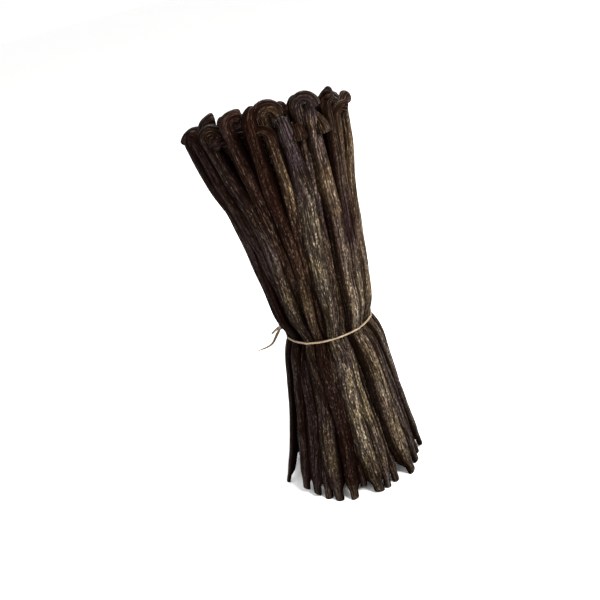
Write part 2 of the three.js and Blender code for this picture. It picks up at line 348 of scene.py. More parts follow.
def innerPods(ring, level):
    ranges = innerPod
    pods = []
    for i in range(ring["count"]):
        seed = ranges["seedStep"] * (level + 1) + i
        tie = ring["start"] + 360.0 / ring["count"] * i
        gold = mix(*ranges["gold"], draw(seed, draws["gold"]) ** 2)
        pod = {
            "foot": tie + drawBetween(seed, "foot", ranges),
            "tie": tie,
            "head": tie + drawBetween(seed, "head", ranges),
            "width": drawBetween(seed, "width", ranges),
            "lift": drawBetween(seed, "lift", ranges),
            "top": drawBetween(seed, "top", ranges) - rearFall(tie, ring["share"]),
            "towards": drawBetween(seed, "towards", ranges),
            "turn": drawBetween(seed, "turn", ranges),
            "radius": drawBetween(seed, "radius", ranges),
            "share": ring["share"],
            "spread": ring["spread"],
            "neck": podShape["neckShare"]["inner"],
            "tint": (gold, drawBetween(seed, "red", ranges), drawBetween(seed, "violet", ranges)),
        }
        if level == 0 and i in archedPods:
            pod["top"], pod["towards"], pod["turn"], pod["radius"] = archedPods[i]
        pods.append(pod)
    return pods


def allPods():
    bodyKeys = ("foot", "tie", "head", "width", "sunk", "buried", "lift", "kick")
    hookKeys = ("top", "splay", "bulge", "towards", "turn", "radius")
    facing = [
        {**dict(zip(bodyKeys, body)), **dict(zip(hookKeys, hook)), "tint": tint}
        for body, hook, tint in zip(facingPods, facingHooks, facingTints)
    ]
    for place, share in upperShares.items():
        facing[place]["upper"] = share
    groups = [("facing", facing), ("rear", rearPods())]
    groups += [("ring%d" % (n + 1), innerPods(ring, n)) for n, ring in enumerate(innerRings)]
    index, made = 0, {}
    for name, pods in groups:
        for pod in pods:
            pod.setdefault("share", 1.0)
            pod.setdefault("neck", podShape["neckShare"]["facing"])
            pod.setdefault("upper", podShape["upperShare"])
            pod["sway"] = drawBetween(index, "sway", podShape)
            pod["phase"] = draw(index, draws["phase"])
            pod["index"] = index
            index += 1
        made[name] = pods
    return made


podMesh = {
    "facing": {"sides": 56, "bodyRings": 96, "hookRings": 16},
    "rear": {"sides": 48, "bodyRings": 90, "hookRings": 14},
    "ring1": {"sides": 32, "bodyRings": 80, "hookRings": 12},
    "ring2": {"sides": 20, "bodyRings": 50, "hookRings": 10},
    "ring3": {"sides": 16, "bodyRings": 40, "hookRings": 8},
    "firstRing": 0.6,             # mm over the blossom end
    # mm along, share of the section
    "blossomRound": ((0.0, 0.5), (0.1, 0.8), (0.4, 0.96)),
    "scarRound": ((0.5, 1.0), (0.9, 0.9), (1.2, 0.7), (1.35, 0.36)),
    "swell": 0.07,                # share of the width
    "swellLengths": (5.7, 13.0),
    "slant": 0.28,                # of the cut at the blossom end
    "slantLength": 5.0,
    "slantTurn": 5.0,             # radians from one pod's cut to the next
}


# how far along its whole length each point of a line is
def arcLength(centre):
    return np.concatenate([[0.0], np.cumsum(np.linalg.norm(np.diff(centre, axis=0), axis=1))])


# centre line, widths and arc length of a whole pod, blossom end first
def podPath(pod, rings):
    shape, firstRing = podShape, podMesh["firstRing"]
    z = np.linspace(pod["lift"] + firstRing, pod["top"], rings["bodyRings"])
    centre = bodyPoints(pod, z)
    wide, thick = girth(pod, z)
    rise = unit(centre[-1] - bodyPoints(pod, np.array([pod["top"] - shape["neckStep"]]))[0])
    over = outward(np.array(float(pod["towards"])))
    over = unit(over - rise * float(over @ rise))
    steps = np.linspace(0, 1, rings["hookRings"] + 1)[1:]
    turned = np.radians(pod["turn"] * steps)
    bow = np.sin(turned)[:, None] * rise + (1 - np.cos(turned))[:, None] * over
    arc = centre[-1] + pod["radius"] * bow
    knob = mix(1.0, shape["hookShare"], ease(steps, 0.0, shape["hookTaper"]))
    knob = knob * mix(1.0, shape["knobShare"], ease(steps, shape["knobStart"], 1.0))
    rounded = mix(thick[-1], wide[-1], steps)
    centre = np.concatenate([centre, arc])
    wide = np.concatenate([wide, wide[-1] * knob])
    thick = np.concatenate([thick, rounded * knob])
    start, end = unit(centre[0] - centre[1]), unit(centre[-1] - centre[-2])
    blossomAlong, first = np.array(podMesh["blossomRound"]).T
    scarAlong, last = np.array(podMesh["scarRound"]).T
    blossom = centre[0] + start * (firstRing - blossomAlong)[:, None]
    scar = centre[-1] + end * scarAlong[:, None]
    centre = np.concatenate([blossom, centre, scar])
    wide = np.concatenate([wide[0] * first, wide, wide[-1] * last])
    thick = np.concatenate([thick[0] * first, thick, thick[-1] * last])
    return centre, wide, thick, arcLength(centre)


# carries a sideways direction along a path without twisting it
def carriedFrame(centre, sideways):
    tangent = unit(np.gradient(centre, axis=0))
    across = np.empty_like(centre)
    held = sideways
    for i, t in enumerate(tangent):
        held = held - t * float(held @ t)
        held = held / np.linalg.norm(held)
        across[i] = held
    return tangent, across, np.cross(across, tangent)


def meshFrom(bm, name):
    mesh = bpy.data.meshes.new(name)
    bm.to_mesh(mesh)
    bm.free()
    return mesh


def addAttribute(mesh, name, kind, field, values):
    attribute = mesh.attributes.new(name, kind, "POINT")
    attribute.data.foreach_set(field, values.ravel())


def addPiece(name, mesh):
    mesh.polygons.foreach_set("use_smooth", np.ones(len(mesh.polygons), dtype=bool))
    mesh.update()
    piece = bpy.data.objects.new(name, mesh)
    bpy.context.scene.collection.objects.link(piece)
    return piece


def vertexPlaces(mesh):
    co = np.empty(len(mesh.vertices) * 3)
    mesh.vertices.foreach_get("co", co)
    return co.reshape(-1, 3)


# a closed tube along Z, one unit long and round, ready to be bent
def straightTube(name, sides, rings):
    bm = bmesh.new()
    bmesh.ops.create_cone(
        bm, cap_ends=True, cap_tris=False, segments=sides, radius1=1.0, radius2=1.0, depth=1.0)
    upright = [e for e in bm.edges if abs(e.verts[0].co.z - e.verts[1].co.z) > 0.5]
    bmesh.ops.subdivide_edges(bm, edges=upright, cuts=rings - 2, use_grid_fill=True)
    bmesh.ops.recalc_face_normals(bm, faces=bm.faces)
    mesh = meshFrom(bm, name)
    co = vertexPlaces(mesh)
    angle = np.arctan2(co[:, 1], co[:, 0])
    ring = np.rint((co[:, 2] + 0.5) * (rings - 1)).astype(int)
    return mesh, angle, ring


# folds of the skin: how many waves go round a pod, how much of the wandering they follow, and how many
# radians they drift for each mm along it
podSkin = {
    "wandering": ((0.5, 17.0), (0.3, 7.3)),     # radians, mm of length
    "broad": {"round": 2.5, "follow": 0.8, "drift": 0.0, "sharpness": 0.7},
    "narrow": {"round": 5.5, "follow": -1.0, "drift": 1 / 31, "sharpness": 0.8},
    "fine": {"round": 9.5, "follow": 1.7, "drift": 0.0},
    "finest": {"round": 14.0, "follow": -2.2, "drift": 1 / 5.1},
    "plainHeight": 0.7,           # where a broad or narrow fold crosses the plain oval
    "plainFine": 0.64,
    "finestShare": 0.5,
    "faintShare": 0.5,            # of the broad folds where they are weakest
    "faintLength": 23.0,
    "lumpLengths": (4.6, 11.0),
    "twistLength": 60.0,
    "halfWidth": 4.0,             # the heights are in mm for a pod of this half width
    "broadHeight": 0.42,
    "narrowHeight": 0.32,
    "fineHeight": 0.16,
    "threeSided": 0.06,           # share of the radius
    "lumps": 0.05,
    "startLength": 3.0,           # the relief grows from nothing over this length, mm
    "endLength": 2.5,
    "bend": (4.0, 1.0),           # mm below and above the start of the hook
    "bentRelief": 0.55,           # what is left of the relief at the bend
    "sideShade": (0.3, 0.9),           # how far sideways the painted shade between two pods begins and is full
    "bentSideShade": 0.3,
    "paleFrom": (70.0, 95.0),     # mm along where the painted side shade turns lighter on the pods that have a lighter one
    "dip": (0.05, 0.35),          # height in a fold where the painted shade is full and where it ends
    "broadShade": 0.45,           # light left in the painted shade at the depth of a fold
    "narrowShade": 0.5,
    "flowRound": 3.0,             # scale of the grain round the pod
    "flowStep": 19.0,             # from one pod's grain to the next
}
# pods at the lit edge: how dark their painted side shade is, by their place from the left (14 is the first
# rear one)
sideShadeShares = {12: 0.6, 13: 0.3, 14: 0.4}


def foldWave(fold, angle, along, wander, phase):
    return np.sin(fold["round"] * angle + fold["follow"] * wander + fold["drift"] * along + phase)


# how far the skin stands out from its plain oval, in mm, and how much painted shade it gets in its folds
# and at its sides towards the next pods, from 0 to 1
def podRelief(pod, angle, along, halfWidth, bent):
    skin, index = podSkin, pod["index"]
    phase = [draw(index, draws["folds"] + k) * 2.0 * np.pi for k in range(10)]
    wander = 0.0
    for k, (far, length) in enumerate(skin["wandering"]):
        wander = wander + far * np.sin(along / length + phase[k])
    broad, narrow, fine, finest = (
        foldWave(skin[kind], angle, along, wander, phase[2 + k])
        for k, kind in enumerate(("broad", "narrow", "fine", "finest"))
    )
    broad = np.abs(broad) ** skin["broad"]["sharpness"]
    narrow = np.abs(narrow) ** skin["narrow"]["sharpness"]
    fine = np.abs(fine) - skin["plainFine"] + skin["finestShare"] * finest
    strength = mix(skin["faintShare"], 1.0, 0.5 + 0.5 * np.sin(along / skin["faintLength"] + phase[6]))
    shortLump, longLump = skin["lumpLengths"]
    lumps = np.sin(along / shortLump + phase[7] + angle) * np.sin(along / longLump + phase[8])
    threeSided = np.cos(3.0 * angle + phase[9] + along / skin["twistLength"])
    relief = halfWidth / skin["halfWidth"] * (
        skin["broadHeight"] * (broad - skin["plainHeight"]) * strength
        + skin["narrowHeight"] * (narrow - skin["plainHeight"])
        + skin["fineHeight"] * fine
        + (skin["threeSided"] * threeSided + skin["lumps"] * lumps) * halfWidth
    )
    # painted shade: darker at each pod's sides towards its neighbours, and in the depth of its folds
    sideShade = ease(np.abs(np.cos(angle)), *skin["sideShade"]) * mix(1.0, skin["bentSideShade"], bent)
    sideShade = sideShade * mix(1.0, sideShadeShares.get(index, 1.0), ease(along, *skin["paleFrom"]))
    light = mix(skin["broadShade"], 1.0, ease(broad, *skin["dip"]))
    light = light * mix(skin["narrowShade"], 1.0, ease(narrow, *skin["dip"]))
    return relief, 1.0 - light * (1.0 - sideShade)


# more or less violet on some: pod, height, how far it reaches up and down, change of the share
violetPatches = [
    (1, 150.0, 30.0, 0.35),
    (3, 122.0, 8.0, 0.6),
    (7, 148.0, 14.0, 0.2),
    (8, 135.0, 20.0, 0.2),
    (10, 152.0, 18.0, 0.5),
    (11, 116.0, 8.0, 0.25),
]
# and more or less gold
goldPatches = [
    (3, 26.0, 14.0, 0.12),
    (3, 99.0, 12.0, 0.34),
    (3, 118.0, 10.0, 0.15),
    (4, 24.0, 18.0, 0.3),
    (4, 125.0, 20.0, 0.08),
    (5, 96.0, 16.0, 0.32),
    (5, 125.0, 14.0, 0.06),
    (6, 148.0, 14.0, 0.6),
    (7, 38.0, 14.0, 0.9),
    (7, 110.0, 12.0, 0.6),
    (7, 124.0, 10.0, 0.2),
    (7, 134.0, 6.0, 0.6),
    (7, 160.0, 12.0, -0.4),
    (8, 40.0, 30.0, 0.6),
    (9, 30.0, 24.0, 0.4),
    (10, 38.0, 26.0, 0.22),
    (10, 94.0, 14.0, 0.6),
    (10, 150.0, 20.0, 0.25),
    (11, 94.0, 16.0, 0.85),
    (11, 124.0, 10.0, -0.3),
    (12, 20.0, 40.0, -0.3),
    (12, 98.0, 26.0, 0.3),
    (12, 124.0, 12.0, -0.4),
    (13, 20.0, 45.0, -0.5),
    (13, 100.0, 26.0, 0.25),
    (13, 140.0, 22.0, 0.2),
    (14, 20.0, 45.0, -0.5),
]
# pods with weaker painted glints than the others towards the head, by their place from the left
mattPods = {0: 0.2, 1: 0.25, 2: 0.6}
# how the shares change along every pod, between two heights or two lengths, mm
podTints = {
    "mattHeights": (60.0, 110.0),
    "tipLengths": (3.0, 9.0),
    "tipGold": 0.2,
    "tipViolet": 0.3,
    "bentGold": 0.4,              # what is left at the bend
    "footGold": 0.35,             # and at the blossom end
    "footGoldLengths": (4.0, 22.0),
    "footRed": 0.35,
    "footRedHeights": (50.0, 130.0),
    "footViolet": 0.12,
    "footVioletHeights": (40.0, 90.0),
}


# golden, reddish and violet share of the skin, and how strong its painted glints are
def podShares(pod, z, along, bent):
    tints, index = podTints, pod["index"]
    shares = np.tile((*pod["tint"], 1.0), (len(z), 1))
    shares[:, 3] = mix(1.0, mattPods.get(index, 1.0), ease(z, *tints["mattHeights"]))
    for channel, patches in ((0, goldPatches), (2, violetPatches)):
        for number, height, reach, change in patches:
            if number == index:
                shares[:, channel] += change * bump(z - height, reach)
    tip = 1.0 - ease(along, *tints["tipLengths"])
    shares[:, 0] *= mix(1.0, tints["bentGold"], bent)
    shares[:, 0] *= mix(tints["footGold"], 1.0, ease(along, *tints["footGoldLengths"]))
    shares[:, 0] += tints["tipGold"] * tip
    shares[:, 1] *= mix(tints["footRed"], 1.0, ease(z, *tints["footRedHeights"]))
    shares[:, 2] += mix(tints["footViolet"], 0.0, ease(z, *tints["footVioletHeights"]))
    shares[:, 2] += tints["tipViolet"] * tip
    return np.clip(shares, 0.0, 1.0)


# points of one pod on its tube, the grain that runs with it, its shares of colour and its painted shade
def podSurface(pod, rings, angle, ring):
    skin, index = podSkin, pod["index"]
    path, wide, thick, length = podPath(pod, rings)
    tangent, across, through = carriedFrame(path, outward(np.array(pod["foot"] + 90.0)))
    centre, wide, thick, along = path[ring], wide[ring], thick[ring], length[ring]
    below, above = skin["bend"]
    bent = ease(centre[:, 2], pod["top"] - below, pod["top"] + above)
    relief, paintedShade = podRelief(pod, angle, along, wide / 2.0, bent)
    relief = relief * ease(along, 0.0, skin["startLength"])
    relief = relief * ease(length[-1] - along, 0.0, skin["endLength"])
    relief = relief * mix(1.0, skin["bentRelief"], bent)
    shortSwell, longSwell = podMesh["swellLengths"]
    swell = np.sin(along / shortSwell + index) * np.sin(along / longSwell + 2.0 * index)
    swell = 1.0 + podMesh["swell"] * swell
    cut = podMesh["slant"] * np.cos(angle + podMesh["slantTurn"] * index) * wide / 2.0
    cut = cut * (1.0 - ease(along, 0.0, podMesh["slantLength"]))
    points = (
        centre
        + across[ring] * (np.cos(angle) * (wide * swell / 2.0 + relief))[:, None]
        + through[ring] * (np.sin(angle) * (thick / 2.0 + relief))[:, None]
        + tangent[ring] * cut[:, None]
    )
    points[:, 2] = np.maximum(points[:, 2], 0.0)
    grainX = skin["flowRound"] * np.cos(angle) + skin["flowStep"] * index
    flow = np.stack([grainX, skin["flowRound"] * np.sin(angle), along], axis=-1)
    return points, flow, podShares(pod, centre[:, 2], along, bent), paintedShade


def podsPiece(name, groups):
    bm = bmesh.new()
    surfaces = []
    for group in groups:
        rings = podMesh[group]
        count = rings["bodyRings"] + rings["hookRings"]
        count += len(podMesh["blossomRound"]) + len(podMesh["scarRound"])
        tube, angle, ring = straightTube("tube", rings["sides"], count)
        for pod in podsByGroup[group]:
            bm.from_mesh(tube)
            surfaces.append(podSurface(pod, rings, angle, ring))
        bpy.data.meshes.remove(tube)
    mesh = meshFrom(bm, name)
    points, flows, tints, paintedShades = (np.concatenate(values) for values in zip(*surfaces))
    mesh.vertices.foreach_set("co", ((points + np.array(bundle["place"])) * mm).ravel())
    addAttribute(mesh, "podFlow", "FLOAT_VECTOR", "vector", flows)
    addAttribute(mesh, "podTint", "FLOAT_COLOR", "color", tints)
    # how much painted shade each point gets
    addAttribute(mesh, "podPaintedShade", "FLOAT", "value", paintedShades)
    print(name, len(surfaces), "pods,", len(mesh.vertices), "vertices")
    return addPiece(name, mesh)


podsByGroup = allPods()
podPieces = [
    podsPiece("frontPods", ["facing"]),
    podsPiece("backPods", ["rear"]),
    podsPiece("innerPods", ["ring1", "ring2", "ring3"]),
]

twine = {
    "thick": 0.38,                # half sizes, mm
    "wide": 0.42,
    "steps": 420,
    "sides": 16,
    "twist": 0.05,                # radians per mm
    "waist": 1.0,                 # mm over and under the tie where the pods hold it off
    "easeRounds": 3,              # how often the dips between pods are bridged
    "easeSteps": 20,              # how many steps away the bridging looks
    "easeShare": 0.8,
    "seat": 0.8,                  # share of its half thickness from the pods to its middle
    "waver": 0.22,                # mm up and down
    "waverTimes": 3.0,
    "waverStart": 40.0,
    "fibres": ((0.035, 5.0, 3.0), (0.02, 9.0, -1.7)),    # height, how many round, mm of length
    "knotAzimuth": -108.0,
    "knotPlace": 21.6,            # from the middle of the waist
    "knotRadius": 0.62,
    "knotShares": (0.85, 0.75, 1.0),
    "knotWide": 0.45,
    "knotThick": 0.4,
    "knotSteps": 90,
    "knotSides": 12,
    "knotStart": 150.0,           # mm along the grain
    # points from the knot, half width in mm, mm along the grain
    "tails": (
        (((0, 0, 0), (-2.8, -0.5, -3.4), (-6.8, -1.7, -7.2), (-13.6, -2.7, -8.0)), 0.9, 170.0),
        (((0, 0, 0), (-2.4, 0.3, -1.2), (-5.4, 0.5, -3.2)), 0.65, 190.0),
    ),
    "tailSteps": 14,
    "tailSides": 14,
    "tailTwist": 0.06,
    "tailRoot": (0.7, 0.4),       # share of the width at the knot, and where along it is full
    "tailTip": (0.5, 0.85),       # share of the width at the tip, and where along it begins to narrow
    "tailFlatness": 0.32,
    "tailLeast": 0.06,            # mm added to the thickness
}
upwards = np.array([0.0, 0.0, 1.0])


def turnOf(a, b, c):
    return (b[0] - a[0]) * (c[1] - a[1]) - (b[1] - a[1]) * (c[0] - a[0])


# one side of the line that a taut thread takes round sorted points
def tautSide(points):
    kept = []
    for p in points:
        while len(kept) > 1 and turnOf(kept[-2], kept[-1], p) <= 0:
            kept.pop()
        kept.append(p)
    return kept[:-1]


# how far out a taut thread runs round the pods at the waist: the nearest of the sides that face that way
def tautRadius(azimuths):
    near = []
    for piece in podPieces[:2]:
        points = vertexPlaces(piece.data) / mm - np.array(bundle["place"])
        near.append(points[np.abs(points[:, 2] - bundle["tieHeight"]) < twine["waist"]][:, :2])
    points = np.concatenate(near)
    points = points[np.lexsort((points[:, 1], points[:, 0]))]
    hull = np.array(tautSide(points) + tautSide(points[::-1]))
    edge = np.roll(hull, -1, axis=0) - hull
    normal = unit(np.stack([edge[:, 1], -edge[:, 0]], axis=-1))
    reach = (normal * hull).sum(axis=1)
    facing = np.maximum(outward(azimuths)[:, :2] @ normal.T, 1e-3)
    return (reach / facing).min(axis=1)


# a closed strand round a path, flat or round, with a few coarse fibres
def bentStrand(centre, wide, thick, sides, flowStart, twist):
    mesh, angle, ring = straightTube("strand", sides, len(centre))
    length = arcLength(centre)[ring]
    across, through = carriedFrame(centre, upwards)[1:]
    fibre = 1.0
    for height, times, waveLength in twine["fibres"]:
        fibre = fibre + height * np.sin(angle * times + length / waveLength)
    wide, thick = np.broadcast_to(wide, len(centre))[ring], np.broadcast_to(thick, len(centre))[ring]
    flat, steep = np.cos(angle) * fibre * wide, np.sin(angle) * fibre * thick
    turned = twist * length
    x = flat * np.cos(turned) - steep * np.sin(turned)
    y = flat * np.sin(turned) + steep * np.cos(turned)
    points = centre[ring] + across[ring] * x[:, None] + through[ring] * y[:, None]
    mesh.vertices.foreach_set("co", ((points + np.array(bundle["place"])) * mm).ravel())
    flow = np.stack([np.cos(angle), np.sin(angle), length + flowStart], axis=-1)
    addAttribute(mesh, "strandFlow", "FLOAT_VECTOR", "vector", flow)
    return mesh


# a smooth line through a few points
def smoothPath(points, steps):
    points = np.array(points, dtype=float)
    ends = np.concatenate([[2 * points[0] - points[1]], points, [2 * points[-1] - points[-2]]])
    out = []
    for i in range(len(points) - 1):
        p0, p1, p2, p3 = ends[i:i + 4]
        for t in np.linspace(0, 1, steps, endpoint=False):
            out.append(0.5 * (2 * p1 + (p2 - p0) * t + (2 * p0 - 5 * p1 + 4 * p2 - p3) * t ** 2
                              + (3 * p1 - p0 - 3 * p2 + p3) * t ** 3))
    out.append(points[-1])
    return np.array(out)


def loopStrand():
    azimuth = twine["knotAzimuth"] + np.linspace(0, 360, twine["steps"] + 1)
    radius = tautRadius(azimuth)
    near = twine["easeSteps"]
    window = np.ones(2 * near + 1) / (2 * near + 1)
    for _ in range(twine["easeRounds"]):
        around = np.concatenate([radius[-near - 1:-1], radius, radius[1:near + 1]])
        soft = np.convolve(around, window, "valid")
        radius = mix(radius, np.maximum(radius, soft), twine["easeShare"])
    loop = outward(azimuth) * (radius + twine["thick"] * twine["seat"])[:, None]
    waver = np.sin(np.radians(azimuth * twine["waverTimes"] + twine["waverStart"]))
    loop[:, 2] = bundle["tieHeight"] + twine["waver"] * waver
    return bentStrand(loop, twine["wide"], twine["thick"], twine["sides"], 0.0, twine["twist"])


# a trefoil, pulled tight
def knotStrand(place):
    t = np.linspace(0, 2 * np.pi, twine["knotSteps"])
    path = np.stack([np.sin(t) + 2 * np.sin(2 * t), np.cos(t) - 2 * np.cos(2 * t), -np.sin(3 * t)], axis=-1)
    outwards = Matrix.Rotation(math.radians(twine["knotAzimuth"]), 3, "Z")
    turned = np.array(outwards @ Matrix.Rotation(math.radians(90), 3, "X"))
    path = path * twine["knotRadius"] * np.array(twine["knotShares"]) @ turned.T + place
    wide, thick, sides = twine["knotWide"], twine["knotThick"], twine["knotSides"]
    return bentStrand(path, wide, thick, sides, twine["knotStart"], 0.0)


def tailStrand(place, points, halfWidth, flowStart):
    path = smoothPath([place + np.array(p) for p in points], twine["tailSteps"])
    along = np.linspace(0, 1, len(path))
    (root, rootEnd), (tip, tipStart) = twine["tailRoot"], twine["tailTip"]
    wide = halfWidth * mix(root, 1.0, ease(along, 0, rootEnd)) * mix(1.0, tip, ease(along, tipStart, 1.0))
    thick = wide * twine["tailFlatness"] + twine["tailLeast"]
    return bentStrand(path, wide, thick, twine["tailSides"], flowStart, twine["tailTwist"])


def twinePiece():
    knot = outward(np.array(twine["knotAzimuth"])) * twine["knotPlace"] + upwards * bundle["tieHeight"]
    strands = [loopStrand(), knotStrand(knot)]
    strands += [tailStrand(knot, *tail) for tail in twine["tails"]]
    bm = bmesh.new()
    for strand in strands:
        bm.from_mesh(strand)
        bpy.data.meshes.remove(strand)
    mesh = meshFrom(bm, "raffiaTwine")
    print("raffiaTwine", len(mesh.vertices), "vertices")
    return addPiece("raffiaTwine", mesh)


raffiaTwine = twinePiece()


def newGroup(name, inputs, outputs):
    group = bpy.data.node_groups.new(name, "ShaderNodeTree")
    for socketName, kind, value in inputs:
        socket = group.interface.new_socket(socketName, in_out="INPUT", socket_type=kind)
        if value is not None:
            socket.default_value = value
    for socketName, kind in outputs:
        group.interface.new_socket(socketName, in_out="OUTPUT", socket_type=kind)
    return group, group.nodes.new("NodeGroupInput"), group.nodes.new("NodeGroupOutput")


def newMaterial(name):
    material = bpy.data.materials.new(name)
    material.use_nodes = True
    return material, material.node_tree, material.node_tree.nodes["Principled BSDF"]


def addNode(tree, kind, settings=None, values=None):
    node = tree.nodes.new(kind)
    for key, value in (settings or {}).items():
        setattr(node, key, value)
    for key, value in (values or {}).items():
        if isinstance(value, bpy.types.NodeSocket):
            tree.links.new(value, node.inputs[key])
        else:
            node.inputs[key].default_value = value
    return node


def attributeNode(tree, name):
    return addNode(tree, "ShaderNodeAttribute", {"attribute_name": name})


def mathNode(tree, operation, a, b=0.0):
    return addNode(tree, "ShaderNodeMath", {"operation": operation}, {0: a, 1: b}).outputs[0]


def scaleNode(tree, value, factor, added):
    settings = {"operation": "MULTIPLY_ADD"}
    return addNode(tree, "ShaderNodeMath", settings, {0: value, 1: factor, 2: added}).outputs[0]


def rangeNode(tree, value, span, toLow=0.0, toHigh=1.0):
    low, high = span
    node = addNode(tree, "ShaderNodeMapRange", {"interpolation_type": "SMOOTHSTEP"}, {
        "Value": value, "From Min": low, "From Max": high, "To Min": toLow, "To Max": toHigh,
    })
    return node.outputs["Result"]


def mixColor(tree, factor, a, b):
    node = addNode(tree, "ShaderNodeMix", {"data_type": "RGBA"}, {0: factor, 6: a, 7: b})
    return node.outputs[2]


wrinkleLook = {
    # noises: scale against the wrinkles', detail, roughness, distortion
    "coarse": (1.0, 2.0, 0.5, 0.06),
    "fine": (2.6, 2.0, 0.55, 0.06),
    "speck": (3.2, 2.0, 0.6, 0.0),
    "patch": (0.28, 2.0, 0.5, 0.0),
    "fineStretch": 2.5,           # against the coarse one's
    "speckStretch": 0.34,         # width over length
    "patchStretch": 0.35,
    "middle": 0.5,                # of a noise, where a crease runs
    "coarseHeight": 4.0,
    "fineHeight": 2.6,
    "speckHeight": 0.9,
    "crest": (0.25, 0.75),
    "grain": (0.4, 0.54),
    "grainLeast": 0.45,
    "coarseCrease": (0.035, 0.004),
    "fineCrease": (0.055, 0.004),
    "patchEdge": (0.42, 0.62),
    "glintSpeck": (0.54, 0.68),
    "glintHeight": (0.2, 0.5),
}


# long wrinkles that run with the pod: a height for the bump, crests that carry a painted highlight, creases
# for painted shade, broad patches of colour and small painted glints of oil
def wrinkleGroup():
    look = wrinkleLook
    group, inside, outside = newGroup(
        "podWrinkles",
        [("Flow", "NodeSocketVector", None), ("Scale", "NodeSocketFloat", 1.0),
         ("Stretch", "NodeSocketFloat", 0.1)],
        [("Height", "NodeSocketFloat"), ("Crest", "NodeSocketFloat"), ("Crease", "NodeSocketFloat"),
         ("Patch", "NodeSocketFloat"), ("Glint", "NodeSocketFloat")],
    )
    scale, stretch = inside.outputs["Scale"], inside.outputs["Stretch"]
    parts = addNode(group, "ShaderNodeSeparateXYZ", values={0: inside.outputs["Flow"]})

    def drawnNoise(kind, stretched):
        times, detail, roughness, distortion = look[kind]
        along = mathNode(group, "MULTIPLY", parts.outputs["Z"], stretched)
        vector = addNode(group, "ShaderNodeCombineXYZ", values={
            "X": parts.outputs["X"], "Y": parts.outputs["Y"], "Z": along}).outputs[0]
        return addNode(group, "ShaderNodeTexNoise", {"noise_dimensions": "3D"}, {
            "Vector": vector, "Scale": mathNode(group, "MULTIPLY", scale, times), "Detail": detail,
            "Roughness": roughness, "Distortion": distortion}).outputs["Fac"]

    def ridgeOf(noise):
        return mathNode(group, "ABSOLUTE", mathNode(group, "SUBTRACT", noise, look["middle"]))

    ridge = ridgeOf(drawnNoise("coarse", stretch))
    ridgeFine = ridgeOf(drawnNoise("fine", mathNode(group, "MULTIPLY", stretch, look["fineStretch"])))
    speck = drawnNoise("speck", look["speckStretch"])
    patch = drawnNoise("patch", look["patchStretch"])
    height = mathNode(group, "MULTIPLY", ridgeFine, look["fineHeight"])
    height = scaleNode(group, ridge, look["coarseHeight"], height)
    grain = rangeNode(group, speck, look["grain"], look["grainLeast"])
    paintedCreaseShade = rangeNode(group, ridge, look["coarseCrease"])
    fineCrease = rangeNode(group, ridgeFine, look["fineCrease"])
    glint = rangeNode(group, speck, look["glintSpeck"])
    results = {
        "Height": scaleNode(group, speck, look["speckHeight"], height),
        "Crest": mathNode(group, "MULTIPLY", rangeNode(group, height, look["crest"]), grain),
        "Crease": mathNode(group, "MAXIMUM", paintedCreaseShade, fineCrease),
        "Patch": rangeNode(group, patch, look["patchEdge"]),
        "Glint": mathNode(group, "MULTIPLY", glint, rangeNode(group, height, look["glintHeight"])),
    }
    for name, socket in results.items():
        group.links.new(socket, outside.inputs[name])
    return group


podLook = {
    "dark": (0.0070, 0.0030, 0.0020, 1.0),
    "gold": (0.140, 0.108, 0.058, 1.0),
    "warmGold": (0.175, 0.090, 0.040, 1.0),
    "red": (0.030, 0.0094, 0.0056, 1.0),
    "violet": (0.048, 0.035, 0.045, 1.0),
    # colour of the painted glints
    "glint": (0.52, 0.43, 0.29, 1.0),
    # colour of the painted shade in creases, folds and between pods
    "paintedCreaseShade": (0.0019, 0.0007, 0.0005, 1.0),
    "darkOil": (1.0, 0.62, 0.44, 1.0),
    "goldOil": (1.0, 0.88, 0.68, 1.0),
    "wrinkleScale": 0.7,          # per mm round the pod
    "wrinkleStretch": 0.042,      # width over length
    "offCrest": 0.25,             # share of a colour that shows beside the crests, which carry it as a painted highlight
    "offPatch": 0.6,              # and beside the patches
    "glintShare": 0.55,
    "glintLeast": 0.06,
    "creaseShade": 0.85,
    "paintedShadeShare": 0.92,
    "roughness": (0.6, 0.32),     # beside the crests and on them
    "shineShare": 0.26,
    "shineLeast": 0.04,
    "bumpDistance": 0.0005,       # metres
    "bumpStrength": 1.0,
}


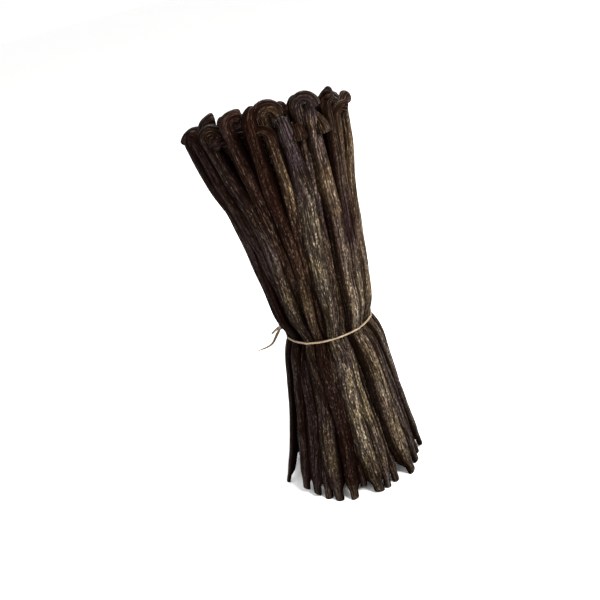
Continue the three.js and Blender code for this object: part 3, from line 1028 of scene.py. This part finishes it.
def podMaterial():
    look = podLook
    material, tree, shader = newMaterial("vanillaSkin")
    tint = attributeNode(tree, "podTint")
    shares = addNode(tree, "ShaderNodeSeparateColor", values={0: tint.outputs["Color"]})
    goldShare, redShare, violetShare = shares.outputs
    paintedShade = attributeNode(tree, "podPaintedShade").outputs["Fac"]
    wrinkles = addNode(tree, "ShaderNodeGroup", {"node_tree": wrinkleGroup()}, {
        "Flow": attributeNode(tree, "podFlow").outputs["Vector"],
        "Scale": look["wrinkleScale"], "Stretch": look["wrinkleStretch"]})
    patch, crest = wrinkles.outputs["Patch"], wrinkles.outputs["Crest"]

    def times(a, b):
        return mathNode(tree, "MULTIPLY", a, b)

    # the colours show mostly on the wrinkle crests, as a painted highlight over the dark base
    crested = scaleNode(tree, crest, 1.0 - look["offCrest"], look["offCrest"])
    patched = scaleNode(tree, patch, 1.0 - look["offPatch"], look["offPatch"])
    # gold: partly the pods' own tint and partly painted light
    gold = times(times(goldShare, crested), patched)
    # violet: partly the pods' own tint and partly a painted sheen
    violet = times(times(violetShare, crested), mathNode(tree, "SUBTRACT", 1.0, patch))
    color = mixColor(tree, times(redShare, crested), look["dark"], look["red"])
    color = mixColor(tree, violet, color, look["violet"])
    color = mixColor(tree, gold, color, mixColor(tree, redShare, look["gold"], look["warmGold"]))
    # painted glints: bright specks mixed into the colour on the crests
    sparkle = scaleNode(tree, goldShare, look["glintShare"], look["glintLeast"])
    sparkle = times(wrinkles.outputs["Glint"], times(sparkle, tint.outputs["Alpha"]))
    color = mixColor(tree, sparkle, color, look["glint"])
    # painted shade: the colour turns to the shade colour in the creases, in the folds and at each pod's
    # sides
    creased = times(wrinkles.outputs["Crease"], look["creaseShade"])
    deep = mathNode(tree, "MAXIMUM", creased, times(paintedShade, look["paintedShadeShare"]))
    tree.links.new(mixColor(tree, deep, color, look["paintedCreaseShade"]), shader.inputs["Base Color"])
    tree.links.new(rangeNode(tree, crest, (0.0, 1.0), *look["roughness"]), shader.inputs["Roughness"])
    shine = times(scaleNode(tree, goldShare, look["shineShare"], look["shineLeast"]), crested)
    shine = times(shine, mathNode(tree, "SUBTRACT", 1.0, paintedShade))
    tree.links.new(shine, shader.inputs["Specular IOR Level"])
    oil = mixColor(tree, goldShare, look["darkOil"], look["goldOil"])
    tree.links.new(oil, shader.inputs["Specular Tint"])
    bumped = addNode(tree, "ShaderNodeBump", values={
        "Height": wrinkles.outputs["Height"], "Distance": look["bumpDistance"],
        "Strength": look["bumpStrength"]})
    tree.links.new(bumped.outputs["Normal"], shader.inputs["Normal"])
    return material


twineLook = {
    "pale": (0.34, 0.255, 0.165, 1.0),
    "shade": (0.10, 0.070, 0.042, 1.0),
    "fibreScale": (3.0, 3.0, 0.25),
    "fibreTimes": 1.6,
    "fibreDetail": 3.0,
    "fibreEdge": (0.38, 0.6),
    "blotchScale": (0.1, 0.1, 0.12),
    "blotchDetail": 1.0,
    "blotchEdge": (0.3, 0.6),
    "blotchLeast": 0.6,
    "roughness": 0.55,
    "bumpDistance": 0.0001,
}


def twineMaterial():
    look = twineLook
    material, tree, shader = newMaterial("raffia")
    flow = attributeNode(tree, "strandFlow").outputs["Vector"]

    def drawnNoise(stretched, scale, detail):
        mapping = addNode(tree, "ShaderNodeMapping", values={"Vector": flow, "Scale": stretched})
        values = {"Vector": mapping.outputs[0], "Scale": scale, "Detail": detail}
        return addNode(tree, "ShaderNodeTexNoise", values=values).outputs["Fac"]

    fibre = drawnNoise(look["fibreScale"], look["fibreTimes"], look["fibreDetail"])
    blotch = drawnNoise(look["blotchScale"], 1.0, look["blotchDetail"])
    lit = rangeNode(tree, blotch, look["blotchEdge"], look["blotchLeast"])
    share = mathNode(tree, "MULTIPLY", rangeNode(tree, fibre, look["fibreEdge"]), lit)
    tree.links.new(mixColor(tree, share, look["shade"], look["pale"]), shader.inputs["Base Color"])
    shader.inputs["Roughness"].default_value = look["roughness"]
    bumped = addNode(tree, "ShaderNodeBump", values={"Height": fibre, "Distance": look["bumpDistance"]})
    tree.links.new(bumped.outputs["Normal"], shader.inputs["Normal"])
    return material


vanillaSkin = podMaterial()
for piece in podPieces:
    piece.data.materials.append(vanillaSkin)
    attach(piece, "root")
    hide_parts("pods")
raffiaTwine.data.materials.append(twineMaterial())
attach(raffiaTwine, "root")
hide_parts("twine")
print("materials set")

camera = {
    "place": (-22.25, -313.46, 231.18),   # mm from the point under the middle of the waist
    "pan": 2.33,
    "tilt": -24.44,
    "roll": -14.63,
    "lens": 46.56,
    "sensor": 36.0,
    "nearest": 0.01,
}

# metres and watts
studio = {
    "floor": (0.98, 0.98, 0.975, 1.0),
    "floorRadius": 7.0,
    "floorSides": 96,
    "floorRoughness": 0.9,
    "world": (1.0, 1.0, 1.0, 1.0),
    "worldStrength": 1.0,
    "aim": (0.0, 0.0, 0.09),
    # place, size, power, colour
    "lamps": (
        ((0.50, -0.60, 0.70), 0.30, 18.0, (1.0, 0.97, 0.92)),
        ((-0.60, -0.45, 0.60), 0.50, 1.5, (0.94, 0.96, 1.0)),
        ((0.10, 0.70, 0.70), 0.40, 4.0, (1.0, 1.0, 1.0)),
    ),
}


def addCamera():
    pan, tilt, roll = (math.radians(camera[key]) for key in ("pan", "tilt", "roll"))
    forward = Vector((math.sin(pan) * math.cos(tilt), math.cos(pan) * math.cos(tilt), math.sin(tilt)))
    side = forward.cross(Vector((0, 0, 1))).normalized()
    above = side.cross(forward)
    right = side * math.cos(roll) + above * math.sin(roll)
    up = above * math.cos(roll) - side * math.sin(roll)
    data = bpy.data.cameras.new("photoCamera")
    data.lens = camera["lens"]
    data.sensor_width = camera["sensor"]
    data.clip_start = camera["nearest"]
    made = bpy.data.objects.new("photoCamera", data)
    place = (Vector(camera["place"]) + Vector(bundle["place"])) * mm
    turn = Matrix((right, up, -forward)).transposed()
    made.matrix_world = Matrix.Translation(place) @ turn.to_4x4()
    bpy.context.scene.collection.objects.link(made)
    bpy.context.scene.camera = made


def addLamp(place, size, power, color):
    data = bpy.data.lights.new("softLamp", "AREA")
    data.shape = "SQUARE"
    data.size = size
    data.energy = power
    data.color = color
    made = bpy.data.objects.new("softLamp", data)
    made.location = place
    aim = Vector(studio["aim"]) - Vector(place)
    made.rotation_euler = aim.to_track_quat("-Z", "Y").to_euler()
    bpy.context.scene.collection.objects.link(made)


def addFloor():
    bm = bmesh.new()
    bmesh.ops.create_circle(bm, cap_ends=True, segments=studio["floorSides"], radius=studio["floorRadius"])
    mesh = meshFrom(bm, "floor")
    floor = bpy.data.objects.new("floor", mesh)
    bpy.context.scene.collection.objects.link(floor)
    material, _, shader = newMaterial("paleFloor")
    shader.inputs["Base Color"].default_value = studio["floor"]
    shader.inputs["Roughness"].default_value = studio["floorRoughness"]
    mesh.materials.append(material)


def addWorld():
    world = bpy.data.worlds.new("studio")
    world.use_nodes = True
    background = world.node_tree.nodes["Background"]
    background.inputs["Color"].default_value = studio["world"]
    background.inputs["Strength"].default_value = studio["worldStrength"]
    bpy.context.scene.world = world
    bpy.context.scene.view_settings.view_transform = "Standard"


addCamera()
for lamp in studio["lamps"]:
    addLamp(*lamp)
addFloor()
addWorld()
print("camera, lamps and floor set")
